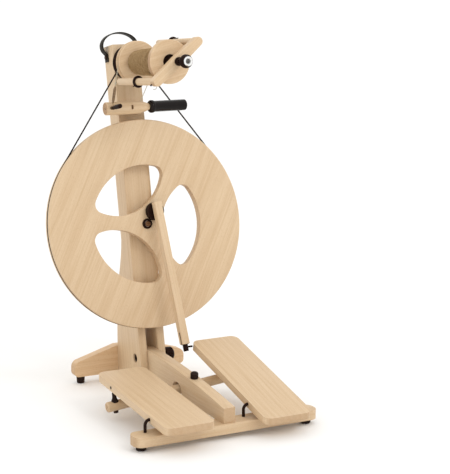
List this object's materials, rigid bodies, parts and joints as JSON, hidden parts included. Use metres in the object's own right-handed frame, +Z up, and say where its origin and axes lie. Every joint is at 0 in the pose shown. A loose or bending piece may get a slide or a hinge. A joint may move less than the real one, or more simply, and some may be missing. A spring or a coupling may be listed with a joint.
{
  "type": "spinning wheel",
  "caption": "Folding treadle spinning wheel: leaning beech mast, solid drive wheel with rounded cut-outs, flyer with braked bobbin, twin treadles on a rocker and a base that folds on a bolt",
  "frame": {"origin": "Centre of the bounding box in plan, on the floor under the feet", "axes": "X to the spinner's right hand as drawn in the picture, Y from the treadles to the back of the mast, Z up"},
  "size_m": [0.358, 0.4658, 0.6158],
  "materials": {
    "beech": "oiled, fine grained",
    "black_plastic": "satin moulded",
    "rubber": "matte",
    "steel": "turned",
    "brass": "dull",
    "yarn": "spun wool",
    "cord": "braided",
    "cotton": "natural laid cord",
    "leather": "soft strap"
  },
  "bodies": {
    "stand": {"mast": "beech", "rear_crossbar": "beech", "crossbar_screws": "steel", "rear_foot_left": "rubber", "rear_foot_right": "rubber", "pivot_bolt": "black_plastic", "wheel_axle": "steel", "axle_spacer": "black_plastic", "hub_screw": "brass", "flyer_bearing": "black_plastic", "barrel_block": "beech", "head_barrel": "beech", "brake_spring": "brass", "brake_cord": "cotton", "drive_band": "cord", "strap": "leather", "strap_screws": "steel"},
    "clamp": {"clamp_knob": "black_plastic"},
    "base": {"spine": "beech", "front_bar": "beech", "front_foot_left": "rubber", "front_foot_right": "rubber", "bar_screws": "steel", "treadle_hooks": "black_plastic", "bumper": "rubber", "rocker_pin": "steel", "pin_keepers": "steel"},
    "left_treadle": {"treadle_left": "beech", "treadle_pin_left": "black_plastic"},
    "right_treadle": {"treadle_right": "beech", "treadle_pin_right": "black_plastic"},
    "rocker": {"rocker_bar": "beech", "rocker_cups": "rubber", "rocker_bolts": "black_plastic"},
    "footman_rod": {"footman": "beech", "footman_bearing": "black_plastic", "footman_joint": "black_plastic"},
    "wheel": {"drive_wheel": "beech", "wheel_bearing": "black_plastic", "crank_pin": "steel", "crank_boss": "black_plastic"},
    "flyer": {"flyer_shaft": "steel", "flyer_crossbar": "beech", "flyer_arm_left": "beech", "flyer_arm_right": "beech", "orifice": "black_plastic", "orifice_ring": "steel", "whorl": "black_plastic"},
    "bobbin": {"bobbin_tube": "black_plastic", "flange_back": "beech", "flange_front": "beech", "yarn_core": "yarn", "yarn_winding": "yarn"},
    "left_guide": {"hook_slider_left": "rubber"},
    "right_guide": {"hook_slider_right": "rubber"},
    "handle": {"tension_handle": "black_plastic"},
    "peg": {"brake_peg": "black_plastic"}
  },
  "joints": [
    {"name": "base_fold", "type": "hinge", "parent": "stand", "child": "base", "pos_m": [0, 0.11433, 0.0575], "axis": [-1, 0, 0], "range_deg": [0, 36]},
    {"name": "clamp_knob_turn", "type": "hinge", "parent": "stand", "child": "clamp", "pos_m": [0.033, 0.11433, 0.0575], "axis": [1, 0, 0], "continuous": true},
    {"name": "treadle_right_tilt", "type": "hinge", "parent": "base", "child": "right_treadle", "pos_m": [0.08575, -0.17167, 0.0445], "axis": [1, 0, 0], "range_deg": [-12.8, 1.1]},
    {"name": "treadle_left_tilt", "type": "hinge", "parent": "base", "child": "left_treadle", "pos_m": [-0.08575, -0.17167, 0.0445], "axis": [1, 0, 0], "range_deg": [-1.1, 12.8]},
    {"name": "rocker_tilt", "type": "hinge", "parent": "base", "child": "rocker", "pos_m": [0, -0.02267, 0.0365], "axis": [0, -1, 0], "range_deg": [-15.7, 1.4]},
    {"name": "footman_stroke", "type": "slide", "parent": "stand", "child": "footman_rod", "axis": [0, 0.2902, 0.957], "range_m": [-0.0426, 0.0037]},
    {"name": "wheel_spin", "type": "hinge", "parent": "stand", "child": "wheel", "pos_m": [0, 0.11856, 0.29149], "axis": [0, -0.9816, 0.1908], "continuous": true},
    {"name": "flyer_spin", "type": "hinge", "parent": "stand", "child": "flyer", "pos_m": [0, 0.17132, 0.56291], "axis": [0, -0.9969, 0.0785], "continuous": true},
    {"name": "bobbin_spin", "type": "hinge", "parent": "flyer", "child": "bobbin", "pos_m": [0, 0.08658, 0.56958], "axis": [0, -0.9969, 0.0785], "continuous": true},
    {"name": "left_guide_slide", "type": "slide", "parent": "flyer", "child": "left_guide", "axis": [0, -0.9969, 0.0785], "range_m": [-0.068, 0.054]},
    {"name": "right_guide_slide", "type": "slide", "parent": "flyer", "child": "right_guide", "axis": [0, -0.9969, 0.0785], "range_m": [-0.05, 0.072]},
    {"name": "tension_handle_turn", "type": "hinge", "parent": "stand", "child": "handle", "pos_m": [0.04, 0.14426, 0.48922], "axis": [1, 0, 0], "continuous": true},
    {"name": "brake_peg_turn", "type": "hinge", "parent": "stand", "child": "peg", "pos_m": [-0.053, 0.12757, 0.49247], "axis": [0, -0.9816, 0.1908], "continuous": true}
  ],
  "couplings": [
    {"joint": "treadle_left_tilt", "follows": "treadle_right_tilt", "ratio": -1},
    {"joint": "rocker_tilt", "follows": "treadle_right_tilt", "ratio": 1.22},
    {"joint": "footman_stroke", "follows": "treadle_right_tilt", "m_per_rad": 0.19},
    {"joint": "flyer_spin", "follows": "wheel_spin", "ratio": 12.679}
  ]
}
